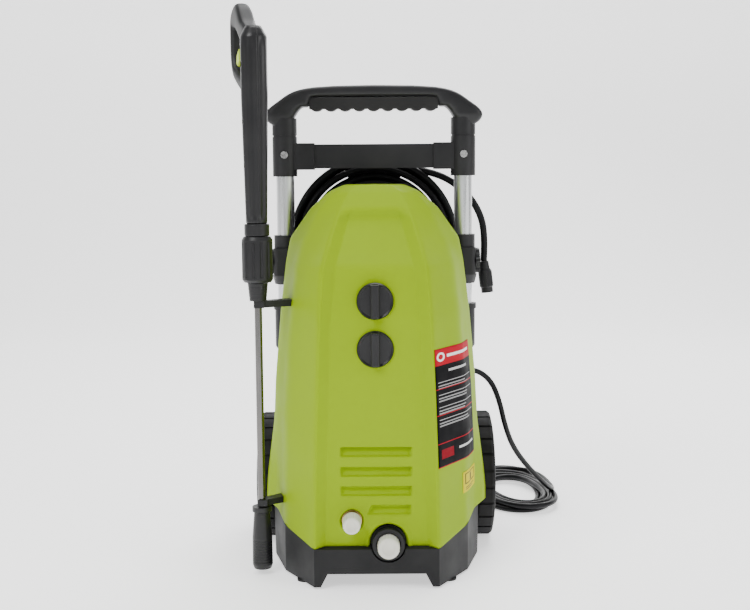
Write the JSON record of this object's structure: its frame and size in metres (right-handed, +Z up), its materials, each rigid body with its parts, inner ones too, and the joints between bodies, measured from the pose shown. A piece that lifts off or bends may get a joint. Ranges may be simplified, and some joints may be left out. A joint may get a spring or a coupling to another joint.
{
  "type": "pressure washer",
  "caption": "Upright electric pressure washer: green body, black tub, wheels, pull-up handle, twin control knobs, spray gun with lance, hose and mains lead.",
  "frame": {"origin": "bottom centre of the machine's box without its hose and lead, on the floor", "axes": "+Z up, -Y is the front with the knobs, +X is the right side seen from the front"},
  "size_m": [0.5344, 0.653, 0.835],
  "materials": {
    "green_shell": "fine texture, semi-matt",
    "black_shell": "fine spark texture",
    "black_plastic": "moulded",
    "gun_plastic": "moulded, slightly glossy",
    "knob_plastic": "satin",
    "soft_grip": "soft touch",
    "tyre": "matt",
    "tube_aluminium": "satin anodised",
    "lance_steel": "polished",
    "trigger_green": "satin",
    "cap_white": "translucent",
    "label_film": "printed film",
    "cord_sheath": "smooth sheath",
    "coupling_plastic": "ribbed",
    "motor_metal": "cast",
    "brass": "machined"
  },
  "bodies": {
    "chassis": {"base_tub": "black_shell", "front_shell": "green_shell", "rear_shell": "black_shell", "foot_pads": "soft_grip", "shell_screws": "lance_steel", "info_label": "label_film", "caution_label": "label_film", "hose_hook": "black_plastic", "lance_clips": "black_plastic", "cord_gland": "black_plastic", "wheel_axle": "lance_steel", "tube_clamp_left": "black_plastic", "tube_clamp_right": "black_plastic", "tube_socket_left": "black_plastic", "tube_socket_right": "black_plastic", "switch_box": "black_plastic", "regulator_valve": "brass", "inlet_fitting": "brass", "outlet_fitting": "black_plastic", "motor_housing": "motor_metal", "pump_head": "brass", "capacitor": "motor_metal", "hose_coil": "cord_sheath", "hose_run": "cord_sheath", "hose_coupling": "coupling_plastic", "hose_gun_end": "coupling_plastic", "power_cord_coil": "cord_sheath", "power_cord_run": "cord_sheath", "power_plug": "black_plastic"},
    "handle": {"handle_grip": "black_plastic", "grip_insert": "soft_grip", "crossbar": "black_plastic", "sleeve_screws": "lance_steel", "handle_sleeve_left": "black_plastic", "handle_sleeve_right": "black_plastic", "handle_tube_left": "tube_aluminium", "handle_tube_right": "tube_aluminium"},
    "wheel_left": {"tyre_left": "tyre", "wheel_hub_left": "black_plastic", "hub_cap_left": "black_plastic"},
    "wheel_right": {"tyre_right": "tyre", "wheel_hub_right": "black_plastic", "hub_cap_right": "black_plastic"},
    "lock_left": {"lock_knob_left": "black_plastic"},
    "lock_right": {"lock_knob_right": "black_plastic"},
    "power_knob": {"power_knob": "knob_plastic"},
    "pressure_knob": {"pressure_knob": "knob_plastic"},
    "inlet_cap": {"inlet_cap": "cap_white"},
    "outlet_cap": {"outlet_cap": "cap_white"},
    "motor_rotor": {"rotor": "motor_metal"},
    "gun": {"gun_shell_left": "gun_plastic", "gun_shell_right": "gun_plastic", "gun_pins": "lance_steel", "gun_inlet": "lance_steel", "gun_collar": "gun_plastic", "lance_cone": "gun_plastic", "lance_tube": "lance_steel"},
    "trigger": {"trigger": "trigger_green"},
    "lance_nut": {"lance_nut": "gun_plastic"},
    "nozzle": {"nozzle_head": "gun_plastic"}
  },
  "joints": [
    {"name": "handle_slide", "type": "slide", "parent": "chassis", "child": "handle", "axis": [0, 0, 1], "range_m": [0, 0.15]},
    {"name": "wheel_left_spin", "type": "hinge", "parent": "chassis", "child": "wheel_left", "pos_m": [-0.1635, 0.0965, 0.1], "axis": [1, 0, 0], "continuous": true},
    {"name": "wheel_right_spin", "type": "hinge", "parent": "chassis", "child": "wheel_right", "pos_m": [0.1785, 0.0965, 0.1], "axis": [1, 0, 0], "continuous": true},
    {"name": "lock_left_turn", "type": "hinge", "parent": "chassis", "child": "lock_left", "pos_m": [-0.1525, 0.0515, 0.451], "axis": [-1, 0, 0], "range_deg": [-180, 0]},
    {"name": "lock_right_turn", "type": "hinge", "parent": "chassis", "child": "lock_right", "pos_m": [0.1675, 0.0515, 0.451], "axis": [1, 0, 0], "range_deg": [-180, 0]},
    {"name": "power_knob_turn", "type": "hinge", "parent": "chassis", "child": "power_knob", "pos_m": [0.0075, -0.1475, 0.4095], "axis": [0, 1, 0], "range_deg": [0, 90]},
    {"name": "pressure_knob_turn", "type": "hinge", "parent": "chassis", "child": "pressure_knob", "pos_m": [0.0075, -0.1475, 0.3418], "axis": [0, 1, 0], "range_deg": [0, 270]},
    {"name": "inlet_cap_pull", "type": "slide", "parent": "chassis", "child": "inlet_cap", "axis": [0, -1, 0], "range_m": [0, 0.03]},
    {"name": "outlet_cap_pull", "type": "slide", "parent": "chassis", "child": "outlet_cap", "axis": [0, -1, 0], "range_m": [0, 0.03]},
    {"name": "rotor_spin", "type": "hinge", "parent": "chassis", "child": "motor_rotor", "pos_m": [0.0075, -0.0185, 0.235], "axis": [0, 0, 1], "continuous": true},
    {"name": "gun_unclip", "type": "slide", "parent": "chassis", "child": "gun", "axis": [-1, 0, 0], "range_m": [0, 0.06]},
    {"name": "trigger_pull", "type": "hinge", "parent": "gun", "child": "trigger", "pos_m": [-0.17189, -0.07143, 0.773], "axis": [0.9336, 0.3584, 0], "range_deg": [0, 20], "stiffness_Nm_per_rad": 0.3, "springref_deg": -17.19},
    {"name": "lance_nut_turn", "type": "hinge", "parent": "gun", "child": "lance_nut", "pos_m": [-0.1615, -0.0985, 0.466], "axis": [0, 0, 1], "continuous": true},
    {"name": "nozzle_turn", "type": "hinge", "parent": "gun", "child": "nozzle", "pos_m": [-0.1615, -0.0985, 0.055], "axis": [0, 0, 1], "range_deg": [0, 180]}
  ]
}
